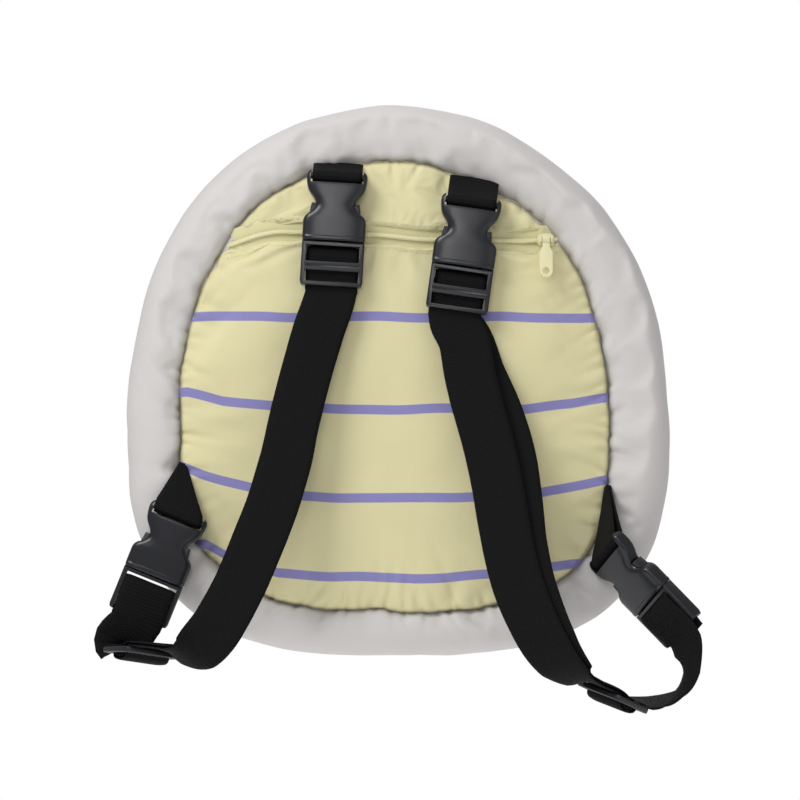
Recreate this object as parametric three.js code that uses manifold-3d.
// Child's backpack in the form of a turtle shell, seen from the wearer's side.
// Millimetres, +Z up, the wearer's side faces -Y, and the origin is the crown of the belly panel.

import * as THREE from 'three';
import { mergeVertices } from 'three/addons/utils/BufferGeometryUtils.js';
import Module from 'manifold-3d';

const wasm = await Module();
wasm.setup();

// Driving dimensions

const clearance = 0.35; // between neighbours that touch on the real thing
const shell = {
  halfWidth: 137.7, // axis to the side of the rim
  above: 164.2, // axis to the top of the rim
  below: 115.4, // axis to the bottom of the rim
  squareAbove: 2.2, // 2 is an ellipse, more is squarer
  squareBelow: 2.8,
  sectors: 60,
};
const rim = { radius: 17.5, setBack: 24, sides: 12 };
const belly = { thickness: 6, fullness: 3.5, shoulder: 1.8 };
const carapace = { height: 76, wall: 4, seamTurn: -38, groove: 2, roundness: 0.78 };
const zip = { heightShare: 0.59, opening: 8.4, tapeThickness: 0.9, tapeDepth: 2.9, coilWidth: 3.2, coilThickness: 1.5 };
const slider = { width: 8.6, length: 6.2, thickness: 3.2, post: 1.1, reach: 0.55, ride: 1 };
const pull = { width: 7, length: 20, thickness: 1.6, pinRadius: 0.8, eyeWall: 1.2, holeRadius: 1.7, lean: 12 };
const webbing = { width: 25.4, thickness: 1.3, layerGap: 0.5, straight: 4.5 }; // straight: where it leaves a bar
const socket = { length: 36.6, halfWidth: 16, waist: 9.9, shoulder: 15.4, thickness: 11, wall: 2.3, barRadius: 1.7 };
const plug = { length: 23, halfWidth: 15.8, thickness: 7, rail: 2.3, barRadius: 1.3, barPlace: 8.4, barSetBack: 1.9 };
const triglide = { width: 33, length: 24, thickness: 3, bar: 3.5, centreBar: 4, corner: 3 };

// The turn round the rim roll at which the belly panel is sewn on, in degrees
const seamTurns = [
  { at: 0, turn: 46 },
  { at: 50, turn: 46 },
  { at: 72, turn: 38 },
  { at: 92, turn: 56 },
  { at: 120, turn: 62 },
  { at: 180, turn: 58 },
  { at: 215, turn: 58 },
  { at: 245, turn: 66 },
  { at: 270, turn: 74 },
  { at: 300, turn: 66 },
  { at: 320, turn: 58 },
  { at: 360, turn: 46 },
];

// Gathers that pinch the rim roll: place and spread in degrees, depth as a share of its radius
const rimGathers = [
  { at: 6, spread: 5, depth: 0.05 },
  { at: 62, spread: 4, depth: 0.07 },
  { at: 96, spread: 5, depth: 0.05 },
  { at: 134, spread: 6, depth: 0.04 },
  { at: 172, spread: 6, depth: 0.06 },
  { at: 206, spread: 5, depth: 0.07 },
  { at: 248, spread: 6, depth: 0.05 },
  { at: 276, spread: 5, depth: 0.08 },
  { at: 318, spread: 6, depth: 0.05 },
];

// The zip's line: places as shares of the shell's half width, rises as shares of its height
const zipLine = [
  { place: -0.66, rise: -0.03 },
  { place: -0.44, rise: 0.041 },
  { place: -0.1, rise: 0.026 },
  { place: 0.13, rise: 0 },
  { place: 0.46, rise: -0.006 },
  { place: 0.6, rise: 0.004 },
];

// Finishes
const finishes = {
  rimCloth: { color: 0xcdc9c6, roughness: 0.85, metalness: 0 },
  bellyCloth: { color: 0xe1daa5, roughness: 0.85, metalness: 0 },
  shellCloth: { color: 0x7c8a4e, roughness: 0.9, metalness: 0 },
  zipPlastic: { color: 0xddd6a4, roughness: 0.45, metalness: 0 },
  webbing: { color: 0x17171a, roughness: 0.8, metalness: 0 },
  blackPlastic: { color: 0x1d1d20, roughness: 0.35, metalness: 0 },
};

const pack = new THREE.Group();

// Small helpers

const radians = THREE.MathUtils.degToRad;

function vector(x, y, z) {
  return new THREE.Vector3(x, y, z);
}

// Value of a table's column at a place, eased from row to row
function eased(table, placeKey, valueKey, place) {
  const last = table[table.length - 1];
  if (place <= table[0][placeKey]) return table[0][valueKey];
  if (place >= last[placeKey]) return last[valueKey];
  const next = table.findIndex((row) => row[placeKey] >= place);
  const from = table[next - 1];
  const to = table[next];
  const share = THREE.MathUtils.smoothstep(place, from[placeKey], to[placeKey]);
  return THREE.MathUtils.lerp(from[valueKey], to[valueKey], share);
}

function degreesOf(angle) {
  return THREE.MathUtils.euclideanModulo(THREE.MathUtils.radToDeg(angle), 360);
}

// Closed skin through rings of points; a ring of one point closes an end, and a looped skin joins its ends
function skinOf(rings, looped = false) {
  const starts = [];
  const points = [];
  for (const ring of rings) {
    starts.push(points.length);
    points.push(...ring);
  }
  const faces = [];
  const bands = looped ? rings.length : rings.length - 1;
  for (let band = 0; band < bands; band += 1) {
    const next = (band + 1) % rings.length;
    const count = Math.max(rings[band].length, rings[next].length);
    for (let side = 0; side < count; side += 1) {
      const after = (side + 1) % count;
      const a = starts[band] + (rings[band].length > 1 ? side : 0);
      const b = starts[band] + (rings[band].length > 1 ? after : 0);
      const c = starts[next] + (rings[next].length > 1 ? side : 0);
      const d = starts[next] + (rings[next].length > 1 ? after : 0);
      if (a !== b) faces.push([a, b, d]);
      if (c !== d) faces.push([a, d, c]);
    }
  }
  if (!looped) {
    closeEnd(faces, rings[0].length, starts[0], false);
    closeEnd(faces, rings[rings.length - 1].length, starts[rings.length - 1], true);
  }
  return geometryFrom(points, faces);
}

// Fan over an end ring that isn't a single point
function closeEnd(faces, count, start, last) {
  for (let corner = 1; corner + 1 < count; corner += 1) {
    const face = [start, start + corner, start + corner + 1];
    faces.push(last ? face : face.reverse());
  }
}

// Indexed geometry with its faces turned outwards
function geometryFrom(points, faces) {
  let volume = 0;
  const cross = new THREE.Vector3();
  for (const [a, b, c] of faces) {
    volume += points[a].dot(cross.crossVectors(points[b], points[c]));
  }
  const geometry = new THREE.BufferGeometry();
  geometry.setFromPoints(points);
  geometry.setIndex((volume > 0 ? faces : faces.map((face) => [...face].reverse())).flat());
  geometry.computeVertexNormals();
  return geometry;
}

// Solids for cuts and joins
function solidOf(geometry) {
  const bare = geometry.clone();
  bare.deleteAttribute('normal');
  bare.deleteAttribute('uv');
  const merged = mergeVertices(bare, 1e-4);
  return new wasm.Manifold(
    new wasm.Mesh({
      numProp: 3,
      vertProperties: new Float32Array(merged.attributes.position.array),
      triVerts: new Uint32Array(merged.index.array),
    }),
  );
}

function geometryOf(solid) {
  const mesh = solid.getMesh();
  const geometry = new THREE.BufferGeometry();
  geometry.setAttribute('position', new THREE.BufferAttribute(new Float32Array(mesh.vertProperties), 3));
  geometry.setIndex(new THREE.BufferAttribute(new Uint32Array(mesh.triVerts), 1));
  geometry.computeVertexNormals();
  return geometry;
}

function largestPiece(solid) {
  const pieces = solid.decompose();
  return pieces.reduce((best, piece) => (piece.volume() > best.volume() ? piece : best));
}

function boxSolid(low, high) {
  const size = high.map((value, axis) => value - low[axis]);
  const box = new THREE.BoxGeometry(...size);
  box.translate(...low.map((value, axis) => value + size[axis] / 2));
  return solidOf(box);
}

// Round bar along X
function barSolid(radius, length, y, z, sides = 10) {
  const bar = new THREE.CylinderGeometry(radius, radius, length, sides);
  bar.rotateZ(Math.PI / 2);
  bar.translate(0, y, z);
  return solidOf(bar);
}

// Flat plate in XY, centred on z = 0, with a small bevel
function plateGeometry(shape, thickness, bevel, curveSegments = 4) {
  const plate = new THREE.ExtrudeGeometry(shape, {
    depth: thickness - 2 * bevel,
    bevelEnabled: bevel > 0,
    bevelThickness: bevel,
    bevelSize: bevel,
    bevelOffset: -bevel,
    bevelSegments: 1,
    curveSegments,
  });
  plate.translate(0, 0, bevel - thickness / 2);
  return plate;
}

function addPiece(parent, name, geometry, finish) {
  const mesh = new THREE.Mesh(geometry, new THREE.MeshStandardMaterial(finishes[finish]));
  mesh.name = name;
  parent.add(mesh);
  return mesh;
}

// Form of the shell, in turns round its axis, which runs along Y through the origin

// Distance from the axis to the outer side of the rim
function rimReach(angle) {
  const upper = Math.sin(angle) > 0;
  const power = upper ? shell.squareAbove : shell.squareBelow;
  const across = Math.abs(Math.cos(angle)) / shell.halfWidth;
  const along = Math.abs(Math.sin(angle)) / (upper ? shell.above : shell.below);
  return (across ** power + along ** power) ** (-1 / power);
}

// Reach and depth of a point on the rim roll: turn 0 faces the axis, 90 faces the wearer
function onRoll(angle, turn, grow = 0) {
  const radius = rim.radius + grow;
  const centre = rimReach(angle) - rim.radius;
  return {
    reach: centre - radius * Math.cos(radians(turn)),
    depth: rim.setBack - radius * Math.sin(radians(turn)),
  };
}

function placed(angle, { reach, depth }) {
  return vector(reach * Math.cos(angle), depth, reach * Math.sin(angle));
}

function ringOf(place) {
  const ring = [];
  for (let sector = 0; sector < shell.sectors; sector += 1) {
    const angle = (2 * Math.PI * sector) / shell.sectors;
    ring.push(placed(angle, place(angle)));
  }
  return ring;
}

function bellySeam(angle, grow = clearance) {
  return onRoll(angle, eased(seamTurns, 'at', 'turn', degreesOf(angle)), grow);
}

// Depth of the belly panel's front at a share of the way from the axis to its seam
function bellyBulge(share) {
  return 1 - (1 - Math.min(share, 1) ** belly.fullness) ** (1 / belly.shoulder);
}

function bellyFront(x, z) {
  const angle = Math.atan2(z, x);
  const seam = bellySeam(angle);
  return seam.depth * bellyBulge(Math.hypot(x, z) / seam.reach);
}

// Rim roll: a stuffed tube, pinched by its gathers

function gatherDepth(angle) {
  let depth = 0;
  for (const gather of rimGathers) {
    const away = (degreesOf(angle) - gather.at) / gather.spread;
    depth += gather.depth * Math.exp(-away * away);
  }
  return depth;
}

function rimRoll(grow = 0) {
  const rings = [];
  for (let side = 0; side < rim.sides; side += 1) {
    const turn = (360 * side) / rim.sides;
    rings.push(ringOf((angle) => onRoll(angle, turn, grow || -rim.radius * gatherDepth(angle))));
  }
  return skinOf(rings, true);
}

// Belly: one padded panel, cut along the zip into a lower panel and an upper one

function bellyPad(grow = 0) {
  const frontShares = [0.3, 0.52, 0.7, 0.84, 0.93, 0.98];
  const backShares = [0.93, 0.8, 0.6, 0.35];
  const edge = THREE.MathUtils.radToDeg(belly.thickness / rim.radius);
  const rings = [[vector(0, -grow, 0)]];
  for (const share of frontShares) {
    rings.push(ringOf((angle) => {
      const seam = bellySeam(angle);
      return { reach: seam.reach * share + grow, depth: seam.depth * bellyBulge(share) - grow };
    }));
  }
  for (const along of [0, 0.5, 1]) {
    rings.push(ringOf((angle) => {
      const turn = eased(seamTurns, 'at', 'turn', degreesOf(angle));
      return onRoll(angle, turn - edge * along, clearance - grow);
    }));
  }
  for (const share of backShares) {
    rings.push(ringOf((angle) => {
      const turn = eased(seamTurns, 'at', 'turn', degreesOf(angle));
      const back = onRoll(angle, turn - edge, clearance);
      const depth = bellySeam(angle).depth * bellyBulge(share) + belly.thickness;
      return { reach: back.reach * share, depth: depth + grow };
    }));
  }
  rings.push([vector(0, belly.thickness + grow, 0)]);
  return skinOf(rings);
}

function zipHeight(x) {
  return zip.heightShare * shell.above * (1 + eased(zipLine, 'place', 'rise', x / shell.halfWidth));
}

// Everything above or below the zip's opening, as a block right through the panel
function zipSide(upper) {
  const far = 1.2 * (upper ? shell.above : -shell.below);
  const shape = new THREE.Shape();
  shape.moveTo(-1.1 * shell.halfWidth, far);
  const steps = 30;
  for (let step = 0; step <= steps; step += 1) {
    const x = shell.halfWidth * (2.2 * (step / steps) - 1.1);
    shape.lineTo(x, zipHeight(x) + (upper ? 0.5 : -0.5) * zip.opening);
  }
  shape.lineTo(1.1 * shell.halfWidth, far);
  shape.closePath();
  const block = new THREE.ExtrudeGeometry(shape, { depth: 3 * rim.setBack, bevelEnabled: false });
  block.rotateX(Math.PI / 2);
  block.translate(0, 2 * rim.setBack, 0);
  return solidOf(block);
}

// Flat strip with a chosen width direction at each row of its middle line
function strip(rows, width, thickness) {
  const rings = rows.map((row, index) => {
    const before = rows[Math.max(index - 1, 0)].at;
    const after = rows[Math.min(index + 1, rows.length - 1)].at;
    const run = after.clone().sub(before).normalize();
    const across = row.across.clone().addScaledVector(run, -row.across.dot(run)).normalize();
    const front = run.clone().cross(across).normalize();
    return [
      [1, 1],
      [-1, 1],
      [-1, -1],
      [1, -1],
    ].map(([side, face]) => row.at.clone()
      .addScaledVector(across, (side * width) / 2)
      .addScaledVector(front, (face * thickness) / 2));
  });
  return skinOf(rings);
}

// Zip: two tapes behind the opening, the closed coil on them, a slider and its pull

// Where the zip's line meets the seam on one side
function zipEnd(side) {
  let x = 0;
  const step = 0.5;
  while (Math.hypot(x, zipHeight(x)) < bellySeam(Math.atan2(zipHeight(x), x)).reach - 2 * zip.tapeDepth) {
    x += side * step;
  }
  return x;
}

function zipRows(above, behind) {
  const rows = [];
  const steps = 16;
  for (let step = 0; step <= steps; step += 1) {
    const x = THREE.MathUtils.lerp(zipEnd(-1), zipEnd(1), step / steps);
    const z = zipHeight(x) + above;
    const slope = (bellyFront(x, zipHeight(x) + 1) - bellyFront(x, zipHeight(x) - 1)) / 2;
    rows.push({ at: vector(x, bellyFront(x, zipHeight(x)) + behind + slope * above, z), across: vector(0, slope, 1) });
  }
  return rows;
}

function buildZip(group) {
  const tapeWidth = zip.opening / 2 - 2.2 * clearance;
  const tapeRow = clearance / 2 + tapeWidth / 2;
  addPiece(group, 'zip_tape_upper', strip(zipRows(tapeRow, zip.tapeDepth), tapeWidth, zip.tapeThickness), 'bellyCloth');
  addPiece(group, 'zip_tape_lower', strip(zipRows(-tapeRow, zip.tapeDepth), tapeWidth, zip.tapeThickness), 'bellyCloth');
  const coilDepth = zip.tapeDepth - zip.tapeThickness / 2 - clearance - zip.coilThickness / 2;
  addPiece(group, 'zip_coil', strip(zipRows(0, coilDepth), zip.coilWidth, zip.coilThickness), 'zipPlastic');

  // The slider's body lies on the coil, and two posts on it hold the pin that the pull swings on
  const eyeRadius = pull.pinRadius + clearance + pull.eyeWall;
  const pinHeight = slider.thickness / 2 + clearance + eyeRadius;
  const body = solidOf(plateGeometry(sliderOutline(), slider.thickness, 0.6));
  const postHigh = pinHeight + pull.pinRadius + slider.post / 2;
  const eyeWidth = slider.width - 2 * slider.post - 2 * clearance - 2;
  const postInner = eyeWidth / 2 + clearance;
  let sliderSolid = body.add(barSolid(pull.pinRadius, 2 * postInner + slider.post, 0, pinHeight, 8));
  for (const side of [-1, 1]) {
    const near = side * postInner;
    const far = side * (postInner + slider.post);
    const halfPost = pull.pinRadius + slider.post / 2;
    sliderSolid = sliderSolid.add(boxSolid(
      [Math.min(near, far), -halfPost, slider.thickness / 4],
      [Math.max(near, far), halfPost, postHigh],
    ));
  }
  const x = slider.reach * shell.halfWidth;
  const z = zipHeight(x);
  const sliderFront = bellyFront(x, z) + coilDepth - zip.coilThickness / 2 - clearance;
  const seat = new THREE.Group();
  seat.position.set(x, sliderFront - slider.thickness / 2 - slider.ride, z);
  seat.rotation.x = Math.PI / 2;
  addPiece(seat, 'zip_slider', geometryOf(sliderSolid), 'zipPlastic');

  const hinge = new THREE.Group();
  hinge.position.set(0, 0, pinHeight);
  hinge.rotation.x = -radians(pull.lean);
  addPiece(hinge, 'zip_pull', pullGeometry(eyeRadius, eyeWidth), 'zipPlastic');
  seat.add(hinge);
  group.add(seat);
}

function sliderOutline() {
  const halfWidth = slider.width / 2;
  const halfLength = slider.length / 2;
  const shape = new THREE.Shape();
  shape.moveTo(-halfWidth, 0.3 * halfLength);
  shape.quadraticCurveTo(-halfWidth, halfLength, 0, halfLength);
  shape.quadraticCurveTo(halfWidth, halfLength, halfWidth, 0.3 * halfLength);
  shape.lineTo(halfWidth, -0.6 * halfLength);
  shape.lineTo(0.8 * halfWidth, -halfLength);
  shape.lineTo(-0.8 * halfWidth, -halfLength);
  shape.lineTo(-halfWidth, -0.6 * halfLength);
  shape.closePath();
  return shape;
}

// Pull: an eye round the pin and a flat tongue with a hole in its round end
function pullGeometry(eyeRadius, eyeWidth) {
  const half = pull.width / 2;
  const tongueTop = eyeRadius + slider.post;
  const shape = new THREE.Shape();
  shape.moveTo(-0.5 * half, -tongueTop);
  shape.lineTo(-half, -tongueTop - half);
  shape.lineTo(-half, half - pull.length);
  shape.absarc(0, half - pull.length, half, Math.PI, 2 * Math.PI, false);
  shape.lineTo(half, -tongueTop - half);
  shape.lineTo(0.5 * half, -tongueTop);
  shape.closePath();
  const hole = new THREE.Path();
  hole.absarc(0, half - pull.length, pull.holeRadius, 0, 2 * Math.PI, true);
  shape.holes.push(hole);
  const tongue = solidOf(plateGeometry(shape, pull.thickness, 0.3));
  const neck = boxSolid([-eyeWidth / 2, -tongueTop - half, -pull.thickness / 2], [eyeWidth / 2, 0, pull.thickness / 2]);
  const eye = barSolid(eyeRadius, eyeWidth, 0, 0);
  const bore = barSolid(pull.pinRadius + clearance, pull.width, 0, 0, 8);
  return geometryOf(tongue.add(neck).add(eye).subtract(bore));
}

// Carapace: a quilted bowl behind the rim, open towards the wearer and closed there by the belly

// Seams between the plates, as a network of lines in the plane of the shell
const plateSeams = {
  spineHalf: 0.3, // half width of the middle row, as a share of the half width
  spineWave: 0.07,
  rows: [-0.62, -0.24, 0.16, 0.56],
};

// Distance from the nearest plate seam, as a share of the half width
function fromPlateSeam(x, z) {
  const across = Math.abs(x) / shell.halfWidth;
  const along = z / (z > 0 ? shell.above : shell.below);
  const spine = plateSeams.spineHalf + plateSeams.spineWave * Math.cos(along * 2.5 * Math.PI);
  let nearest = Math.abs(across - spine);
  for (const row of plateSeams.rows) {
    const slope = across > spine ? 0.35 * (across - spine) * Math.sign(row) : 0;
    nearest = Math.min(nearest, Math.abs(along - row - slope));
  }
  return nearest;
}

function carapaceBowl() {
  const outerTurns = [86, 78, 69, 60, 51, 42, 33, 24, 15, 7];
  const innerTurns = [8, 24, 42, 60, 78];
  const outerShell = (angle, turn, inset, groove) => {
    const seam = onRoll(angle, carapace.seamTurn, clearance);
    const reach = (seam.reach - inset) * Math.cos(radians(turn)) ** carapace.roundness;
    const rise = (carapace.height - inset) * Math.sin(radians(turn));
    const away = fromPlateSeam(reach * Math.cos(angle), reach * Math.sin(angle));
    const dip = groove * Math.exp(-((away / 0.05) ** 2)) * Math.sin(radians(turn)) ** 0.5;
    return { reach, depth: seam.depth + rise - dip };
  };
  const wallTurn = THREE.MathUtils.radToDeg(carapace.wall / rim.radius);
  const rings = [[placed(0, outerShell(0, 90, 0, carapace.groove))]];
  for (const turn of outerTurns) rings.push(ringOf((angle) => outerShell(angle, turn, 0, carapace.groove)));
  rings.push(ringOf((angle) => onRoll(angle, carapace.seamTurn, clearance)));
  rings.push(ringOf((angle) => onRoll(angle, carapace.seamTurn + wallTurn, clearance)));
  for (const turn of innerTurns) rings.push(ringOf((angle) => outerShell(angle, turn, carapace.wall, 0)));
  rings.push([placed(0, outerShell(0, 90, carapace.wall, 0))]);
  return skinOf(rings);
}

// Buckles: side-release, for 25 mm webbing. X is across, Y runs up to the sewn end, Z faces the viewer,
// and the origin is the middle of the socket's mouth.

const slotHalf = webbing.width / 2 + 2 * clearance;
const socketBar = socket.length - socket.barRadius - clearance - webbing.thickness;
const slotFloor = socketBar - socket.barRadius - 2 * clearance - webbing.thickness;

function socketOutline() {
  const { halfWidth, waist, shoulder, length } = socket;
  const side = [
    { x: halfWidth, y: 0.3 * length, cx: halfWidth, cy: 0.36 * length },
    { x: waist, y: 0.47 * length, cx: waist, cy: 0.4 * length },
    { x: 0.93 * shoulder, y: 0.72 * length, cx: waist, cy: 0.56 * length },
    { x: shoulder, y: 0.94 * length, cx: shoulder, cy: 0.8 * length },
    { x: shoulder - 0.06 * length, y: length, cx: shoulder, cy: length },
  ];
  const shape = new THREE.Shape();
  shape.moveTo(-halfWidth, 0);
  shape.lineTo(halfWidth, 0);
  shape.lineTo(side[0].x, side[0].y);
  for (const step of side.slice(1)) shape.quadraticCurveTo(step.cx, step.cy, step.x, step.y);
  const back = side.slice(1).reverse();
  shape.lineTo(-back[0].x, back[0].y);
  back.forEach((step, index) => {
    const to = index + 1 < back.length ? back[index + 1] : side[0];
    shape.quadraticCurveTo(-step.cx, step.cy, -to.x, to.y);
  });
  shape.closePath();
  return shape;
}

function socketGeometry() {
  const half = socket.thickness / 2;
  const cavityHalf = socket.halfWidth - socket.wall;
  const cavityDepth = half - socket.wall;
  const windowTop = 0.55 * socket.length;
  let body = solidOf(plateGeometry(socketOutline(), socket.thickness, 1.1, 3));
  body = body.subtract(boxSolid([-cavityHalf, -1, -cavityDepth], [cavityHalf, windowTop, cavityDepth]));
  body = body.subtract(boxSolid([-slotHalf, slotFloor, -half - 1], [slotHalf, socket.length + 1, half + 1]));
  return geometryOf(body.add(barSolid(socket.barRadius, 2 * slotHalf + 1, socketBar, 0)));
}

// One prong of the plug, springing out into the socket's side window
function prongGeometry(side) {
  const outer = socket.halfWidth - socket.wall - clearance;
  const tip = 0.52 * socket.length;
  const shape = new THREE.Shape();
  shape.moveTo(side * (outer - 4), -1);
  shape.lineTo(side * outer, -1);
  shape.lineTo(side * outer, 0.3 * socket.length);
  shape.lineTo(side * (outer - 1.2), tip);
  shape.lineTo(side * (outer - 4.5), tip);
  shape.lineTo(side * (outer - 3), 0.3 * socket.length);
  shape.closePath();
  return plateGeometry(shape, socket.thickness - 2 * socket.wall - 2 * clearance, 0);
}

function plugGeometry() {
  const half = plug.thickness / 2;
  const inner = plug.halfWidth - plug.rail;
  const base = 2.2;
  const corner = 2;
  const top = -clearance;
  const shape = new THREE.Shape();
  shape.moveTo(-plug.halfWidth, top);
  shape.lineTo(-plug.halfWidth, corner - plug.length);
  shape.quadraticCurveTo(-plug.halfWidth, -plug.length, corner - plug.halfWidth, -plug.length);
  shape.lineTo(plug.halfWidth - corner, -plug.length);
  shape.quadraticCurveTo(plug.halfWidth, -plug.length, plug.halfWidth, corner - plug.length);
  shape.lineTo(plug.halfWidth, top);
  shape.closePath();
  let body = solidOf(plateGeometry(shape, plug.thickness, 0.6, 2));
  body = body.subtract(boxSolid([-inner, -plug.length - 1, -half - 1], [inner, top - base, half + 1]));
  const layerFront = webbing.thickness + clearance + plug.barRadius - plug.barSetBack + clearance;
  body = body.add(boxSolid([-inner - 1, -plug.length, layerFront], [inner + 1, 2.1 - plug.length, half]));
  body = body.add(boxSolid([-inner - 1, -15.3, layerFront], [inner + 1, -10.7, half - 0.4]));
  for (const ridge of [-11.6, -14.4]) body = body.add(barSolid(0.9, 2 * inner + 1, ridge, half - 0.3, 6));
  body = body.add(barSolid(plug.barRadius, 2 * inner + 1, -plug.barPlace, -plug.barSetBack));
  for (const side of [-1, 1]) body = body.add(solidOf(prongGeometry(side)));
  const tongueHalf = 2.6;
  return geometryOf(body.add(boxSolid([-tongueHalf, -1, -half + 1.5], [tongueHalf, 0.5 * socket.length, half - 1.5])));
}

// Tri-glide: a flat frame with two slots either side of its centre bar
function triglideGeometry() {
  const { width, length, thickness, bar, centreBar, corner } = triglide;
  const [halfWidth, halfLength] = [width / 2, length / 2];
  const shape = new THREE.Shape();
  shape.moveTo(corner - halfWidth, -halfLength);
  shape.lineTo(halfWidth - corner, -halfLength);
  shape.quadraticCurveTo(halfWidth, -halfLength, halfWidth, corner - halfLength);
  shape.lineTo(halfWidth, halfLength - corner);
  shape.quadraticCurveTo(halfWidth, halfLength, halfWidth - corner, halfLength);
  shape.lineTo(corner - halfWidth, halfLength);
  shape.quadraticCurveTo(-halfWidth, halfLength, -halfWidth, halfLength - corner);
  shape.lineTo(-halfWidth, corner - halfLength);
  shape.quadraticCurveTo(-halfWidth, -halfLength, corner - halfWidth, -halfLength);
  for (const side of [-1, 1]) {
    const near = (side * centreBar) / 2;
    const far = side * (halfLength - bar);
    const slot = new THREE.Path();
    slot.moveTo(-slotHalf, near);
    slot.lineTo(slotHalf, near);
    slot.lineTo(slotHalf, far);
    slot.lineTo(-slotHalf, far);
    slot.closePath();
    shape.holes.push(slot);
  }
  return plateGeometry(shape, thickness, 0.5, 3);
}

// Places of the hardware. Each frame has X across, Y up towards the sewn end and Z to the viewer.

function frameAt(at, across, up) {
  const x = vector(...across).normalize();
  const z = x.clone().cross(vector(...up)).normalize();
  const y = z.clone().cross(x);
  return new THREE.Matrix4().makeBasis(x, y, z).setPosition(vector(...at));
}

// Upper buckles: the angle round the shell of the seam they hang from, the drop from it to the socket's bar,
// and the swing of the buckle in the plane of the shell, in degrees. Lower buckles: the place of the mouth as
// shares of the half width, and the swing, the turn about the buckle's own length and the lean of its top.
const sides = [
  {
    name: 'left',
    top: { seamAt: 102.6, drop: 5.2, swing: 3.4, lean: 6 },
    low: { x: -0.895, y: -0.01, z: -0.536, swing: 22, turn: 180, lean: 0, tab: { x: -0.8, z: -0.15 } },
    glide: { x: -0.935, y: -0.13, z: -0.815, across: [0.8, 0.55, -0.15], up: [0.55, -0.8, 0.05] },
    strap: [
      { down: 0.09, side: 0.017, out: 0.3, across: [1, 0, -0.16], fan: 0 },
      { down: 0.22, side: 0.05, out: 1, across: [0.98, 0, -0.2], fan: 0 },
      { down: 0.35, side: 0.088, out: 2, across: [0.98, 0, -0.2], fan: 0 },
      { down: 0.475, side: 0.133, out: 3.5, across: [0.98, 0, -0.2], fan: -0.5 },
      { down: 0.6, side: 0.163, out: 5.5, across: [0.95, 0, -0.3], fan: -0.5 },
      { down: 0.73, side: 0.179, out: 7, across: [0.93, 0, -0.37], fan: -0.5 },
      { down: 0.82, side: 0.185, out: 8, across: [0.91, 0, -0.41], fan: 0 },
      { down: 0.905, side: 0.18, out: 8, across: [0.91, 0, -0.42], fan: 0 },
      { down: 0.96, side: 0.17, out: 7, across: [0.89, 0.05, -0.44], fan: 0 },
      { down: 1, side: 0.145, out: 5, across: [0.86, 0.2, -0.42], fan: 0 },
      { down: 1.02, side: 0.085, out: 2.5, across: [0.83, 0.42, -0.3], fan: 0 },
    ],
    tail: [
      { x: -1.024, y: -0.014, z: -0.796, across: [0.83, 0.5, -0.18] },
      { x: -1.02, y: -0.032, z: -0.768, across: [0.92, 0.15, -0.35] },
    ],
    leave: 27.5,
  },
  {
    name: 'right',
    top: { seamAt: 72.7, drop: 10.5, swing: 8, lean: 6 },
    low: { x: 0.938, y: -0.1, z: -0.616, swing: -44, turn: 132, lean: 9, tab: { x: 0.765, z: -0.23 } },
    glide: { x: 0.79, y: -0.15, z: -0.975, across: [0.6, -0.76, -0.2], up: [-0.74, -0.5, 0.36] },
    strap: [
      { down: 0.06, side: 0.003, out: 0.3, across: [0.99, 0, -0.05], fan: 2 },
      { down: 0.15, side: -0.022, out: 1, across: [0.99, 0, 0.08], fan: 5 },
      { down: 0.24, side: -0.038, out: 2, across: [0.98, 0, 0.16], fan: 8 },
      { down: 0.33, side: -0.05, out: 3, across: [0.97, 0, 0.22], fan: 9 },
      { down: 0.42, side: -0.067, out: 4, across: [0.97, 0, 0.24], fan: 9 },
      { down: 0.52, side: -0.094, out: 6, across: [0.98, 0, 0.18], fan: 8 },
      { down: 0.62, side: -0.121, out: 7.5, across: [0.98, -0.05, 0.16], fan: 6.5 },
      { down: 0.72, side: -0.139, out: 9, across: [0.97, -0.15, 0.2], fan: 5.5 },
      { down: 0.81, side: -0.139, out: 10, across: [0.93, -0.25, 0.27], fan: 4.5 },
      { down: 0.89, side: -0.126, out: 9, across: [0.85, -0.38, 0.35], fan: 3.5 },
      { down: 0.95, side: -0.098, out: 6.5, across: [0.75, -0.55, 0.35], fan: 2 },
      { down: 0.99, side: -0.05, out: 2.5, across: [0.68, -0.68, 0.1], fan: 1 },
    ],
    tail: [
      { x: 0.93, y: -0.055, z: -1.003, across: [0.5, -0.85, -0.1] },
      { x: 1.005, y: -0.075, z: -0.985, across: [0.2, -0.97, 0.05] },
      { x: 1.05, y: -0.11, z: -0.93, across: [0.2, -0.94, 0.25] },
      { x: 1.063, y: -0.145, z: -0.86, across: [0.32, -0.8, 0.45] },
    ],
    leave: 27,
  },
];

function topFrame({ seamAt, drop, swing, lean }) {
  const seam = placed(radians(seamAt), bellySeam(radians(seamAt)));
  const up = vector(Math.sin(radians(swing)), 0, Math.cos(radians(swing)));
  const bar = seam.clone().addScaledVector(up, -drop);
  const mouth = bar.clone().addScaledVector(up, -socketBar);
  const foot = mouth.clone().addScaledVector(up, -plug.length);
  const layerBack = plug.barSetBack + plug.barRadius + clearance + webbing.thickness;
  const restFoot = bellyFront(foot.x, foot.z) - layerBack - clearance;
  const restMouth = bellyFront(mouth.x, mouth.z) - socket.thickness / 2 - clearance;
  mouth.y = Math.min(restMouth, restFoot + plug.length * Math.tan(radians(lean))) - 1;
  up.y = Math.tan(radians(lean));
  return frameAt(mouth.toArray(), [Math.cos(radians(swing)), 0, -Math.sin(radians(swing))], up.toArray());
}

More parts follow.
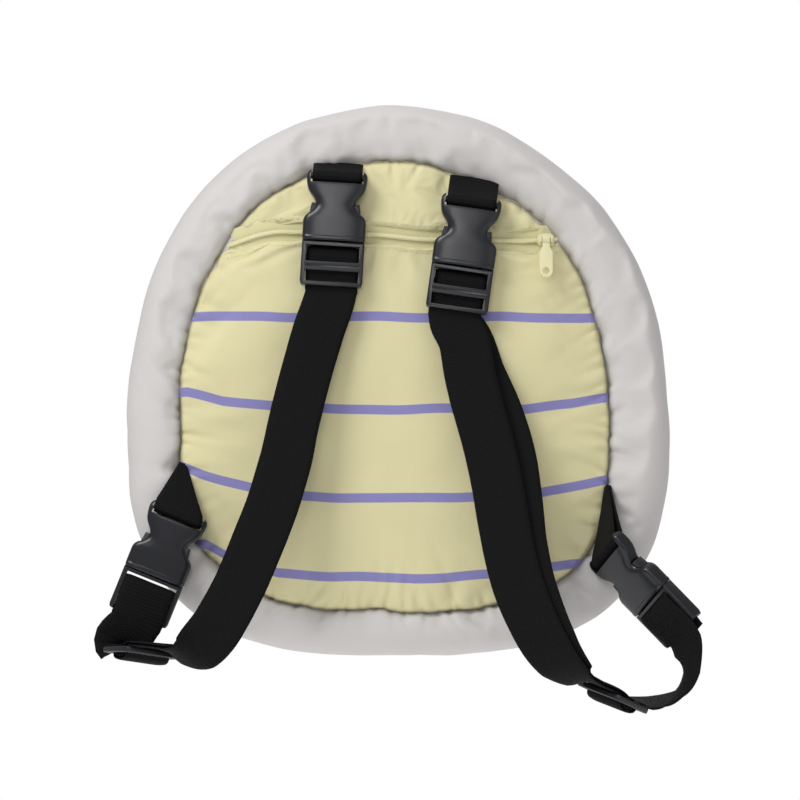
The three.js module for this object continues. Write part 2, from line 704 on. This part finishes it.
function lowFrame({ x, y, z, swing, turn, lean }) {
  const at = [x * shell.halfWidth, y * shell.halfWidth, z * shell.halfWidth];
  const basis = new THREE.Matrix4()
    .makeRotationY(radians(swing))
    .multiply(new THREE.Matrix4().makeRotationX(radians(90 - lean)))
    .multiply(new THREE.Matrix4().makeRotationY(radians(turn)));
  return basis.setPosition(vector(...at));
}

function glideFrame({ x, y, z, across, up }) {
  return frameAt([x, y, z].map((share) => share * shell.halfWidth), across, up);
}

// Trimmed copies of the rim and the belly, grown by the clearance, that a tab's sewn end is cut to fit
const bodyForTabs = solidOf(rimRoll(2 * clearance)).add(solidOf(bellyPad(2 * clearance)));

// Sewn tab: webbing doubled round the socket's bar and carried back into the seam, where it may be folded
// to a point. Its place in the seam is given in the buckle's own frame.
function tabGeometry(frame, seamPoint, pointed) {
  const end = seamPoint.clone().applyMatrix4(frame.clone().invert());
  const bar = vector(0, socketBar, 0);
  const toSeam = vector(0, end.y - socketBar, end.z);
  const outer = socket.barRadius + clearance + webbing.thickness;
  const tail = new THREE.BoxGeometry(webbing.width, toSeam.length(), 2 * webbing.thickness);
  tail.translate(0, toSeam.length() / 2, 0);
  const lean = Math.atan2(toSeam.z, toSeam.y);
  tail.rotateX(lean);
  tail.translate(...bar.toArray());
  let tab = solidOf(tail).add(barSolid(outer, webbing.width, socketBar, 0, 12));
  tab = tab.subtract(barSolid(socket.barRadius + clearance, webbing.width + 2, socketBar, 0, 10));
  if (pointed) {
    const half = webbing.width / 2;
    const tip = 1.5;
    const reach = toSeam.length();
    const taper = new THREE.Shape();
    taper.moveTo(-half - 1, -2 * outer);
    taper.lineTo(half + 1, -2 * outer);
    taper.lineTo(half, outer);
    taper.lineTo(THREE.MathUtils.clamp(end.x, tip - half, half - tip) + tip, reach + 1);
    taper.lineTo(THREE.MathUtils.clamp(end.x, tip - half, half - tip) - tip, reach + 1);
    taper.lineTo(-half, outer);
    taper.closePath();
    const wedge = new THREE.ExtrudeGeometry(taper, { depth: 4 * outer, bevelEnabled: false });
    wedge.translate(0, 0, -2 * outer);
    wedge.rotateX(lean);
    wedge.translate(...bar.toArray());
    tab = tab.intersect(solidOf(wedge));
  }
  const geometry = geometryOf(tab);
  geometry.applyMatrix4(frame);
  return geometryOf(largestPiece(solidOf(geometry).subtract(bodyForTabs)));
}

// Shoulder strap: one length of webbing on each side

const layerMiddle = webbing.thickness / 2 + clearance;

// Middle line of the webbing round a plug's inner bar, from behind to the front, in the buckle's frame
function roundPlug(leave = plug.length + webbing.straight, steps = 5) {
  const radius = plug.barRadius + layerMiddle;
  const rows = [
    { y: -leave, z: -plug.barSetBack - radius },
    { y: -plug.barPlace - 3, z: -plug.barSetBack - radius },
  ];
  for (let step = 0; step <= steps; step += 1) {
    const turn = Math.PI * (step / steps);
    rows.push({
      y: -plug.barPlace + radius * Math.sin(turn),
      z: -plug.barSetBack - radius * Math.cos(turn),
    });
  }
  rows.push({ y: -plug.barPlace - 3, z: radius - plug.barSetBack });
  rows.push({ y: -plug.length - webbing.straight, z: radius - plug.barSetBack });
  return rows;
}

// Middle line of the webbing sewn round the tri-glide's centre bar, in the tri-glide's frame
function sewnLoop() {
  const y = triglide.centreBar / 2 + layerMiddle;
  const z = triglide.thickness / 2 + layerMiddle;
  const under = z + webbing.thickness + clearance;
  return [
    { y, z: 0.3 * z },
    { y: 0.88 * y, z: 0.85 * z },
    { y: 0.5 * y, z },
    { y: -0.5 * y, z },
    { y: -0.9 * y, z: 0.8 * z },
    { y: -y, z: 0 },
    { y: -0.9 * y, z: -0.8 * z },
    { y: -0.5 * y, z: -z },
    { y: 0.3 * y, z: -z },
    { y: 1.4 * y, z: -0.7 * z - 0.3 * under - 0.5 },
    { y: triglide.length / 2 - triglide.bar, z: -under },
    { y: triglide.length / 2 + webbing.straight, z: -under },
  ];
}

// Middle line of the layer that runs through the tri-glide, over the sewn loop
function runThrough() {
  const edge = triglide.length / 2 - triglide.bar;
  const under = triglide.thickness / 2 + layerMiddle;
  const over = under + webbing.thickness + clearance;
  const half = [
    { y: edge + triglide.bar + webbing.straight, z: -under },
    { y: edge + 1.1, z: -under },
    { y: edge - 0.6, z: -under + 0.1 },
    { y: edge - 1.9, z: -0.35 * under },
    { y: edge - 2.5, z: 0.4 * under },
    { y: edge - 3.5, z: over - 0.85 },
    { y: edge - 5.3, z: over },
  ];
  return [...half, ...half.map(({ y, z }) => ({ y: -y, z })).reverse()];
}

function rowsIn(frame, places) {
  const across = new THREE.Vector3().setFromMatrixColumn(frame, 0);
  return places.map(({ y, z }) => ({ at: vector(0, y, z).applyMatrix4(frame), across: across.clone() }));
}

// Free stretch between the top plug and the tri-glide; the rear layer fans out behind the front one
function freeStretch(side, from, to, rear) {
  const depthShift = webbing.thickness + webbing.layerGap;
  return side.strap.map(({ down, side: sway, out, across, fan }) => {
    const at = from.clone().lerp(to, down);
    at.x += sway * shell.halfWidth;
    at.y -= out;
    const width = vector(...across).normalize();
    if (rear) {
      at.addScaledVector(width, fan);
      at.y += depthShift;
    }
    return { at, across: width };
  });
}

// Rows joined by a smooth curve, with extra rows where they lie far apart
function smoothRows(rows, spacing) {
  const curve = new THREE.CatmullRomCurve3(rows.map(({ at }) => at), false, 'centripetal');
  const smooth = [];
  for (let index = 0; index + 1 < rows.length; index += 1) {
    const pieces = Math.max(1, Math.round(rows[index].at.distanceTo(rows[index + 1].at) / spacing));
    for (let piece = 0; piece < pieces; piece += 1) {
      const share = piece / pieces;
      smooth.push({
        at: curve.getPoint((index + share) / (rows.length - 1)),
        across: rows[index].across.clone().lerp(rows[index + 1].across, share).normalize(),
      });
    }
  }
  smooth.push(rows[rows.length - 1]);
  return smooth;
}

function buildSide(side) {
  const top = topFrame(side.top);
  const low = lowFrame(side.low);
  const glide = glideFrame(side.glide);
  const hardware = [
    { name: 'top_socket', geometry: socketGeometry(), frame: top },
    { name: 'top_plug', geometry: plugGeometry(), frame: top },
    { name: 'triglide', geometry: triglideGeometry(), frame: glide },
    { name: 'lower_plug', geometry: plugGeometry(), frame: low },
    { name: 'lower_socket', geometry: socketGeometry(), frame: low },
  ];
  for (const { name, geometry, frame } of hardware) {
    const mesh = addPiece(pack, `${side.name}_${name}`, geometry, 'blackPlastic');
    mesh.applyMatrix4(frame);
  }
  const topSeam = placed(radians(side.top.seamAt), bellySeam(radians(side.top.seamAt)));
  addPiece(pack, `${side.name}_top_tab`, tabGeometry(top, topSeam, false), 'webbing');
  const tabAt = Math.atan2(side.low.tab.z, side.low.tab.x);
  const lowSeam = placed(tabAt, bellySeam(tabAt));
  addPiece(pack, `${side.name}_lower_tab`, tabGeometry(low, lowSeam, true), 'webbing');

  const aroundTop = rowsIn(top, roundPlug());
  const through = rowsIn(glide, runThrough());
  const loop = rowsIn(glide, sewnLoop());
  const from = aroundTop[aroundTop.length - 1].at;
  const to = through[0].at;
  const rearRows = freeStretch(side, aroundTop[0].at, loop[loop.length - 1].at, true).reverse();
  const frontRows = freeStretch(side, from, to, false);
  const tailRows = side.tail.map(({ x, y, z, across }) => ({
    at: vector(x, y, z).multiplyScalar(shell.halfWidth),
    across: vector(...across).normalize(),
  }));
  const rows = [
    ...loop,
    ...rearRows,
    ...aroundTop,
    ...frontRows,
    ...through,
    ...tailRows,
    ...rowsIn(low, roundPlug(side.leave)),
  ];
  rows.slice(1).forEach((row, index) => {
    if (row.across.dot(rows[index].across) < 0) row.across.negate();
  });
  addPiece(pack, `${side.name}_shoulder_strap`, strip(smoothRows(rows, 9), webbing.width, webbing.thickness), 'webbing');
}

addPiece(pack, 'rim_roll', rimRoll(), 'rimCloth');
addPiece(pack, 'carapace', carapaceBowl(), 'shellCloth');
const wholeBelly = solidOf(bellyPad());
addPiece(pack, 'belly_lower', geometryOf(wholeBelly.intersect(zipSide(false))), 'bellyCloth');
addPiece(pack, 'belly_upper', geometryOf(wholeBelly.intersect(zipSide(true))), 'bellyCloth');
buildZip(pack);
for (const side of sides) buildSide(side);

export default pack;
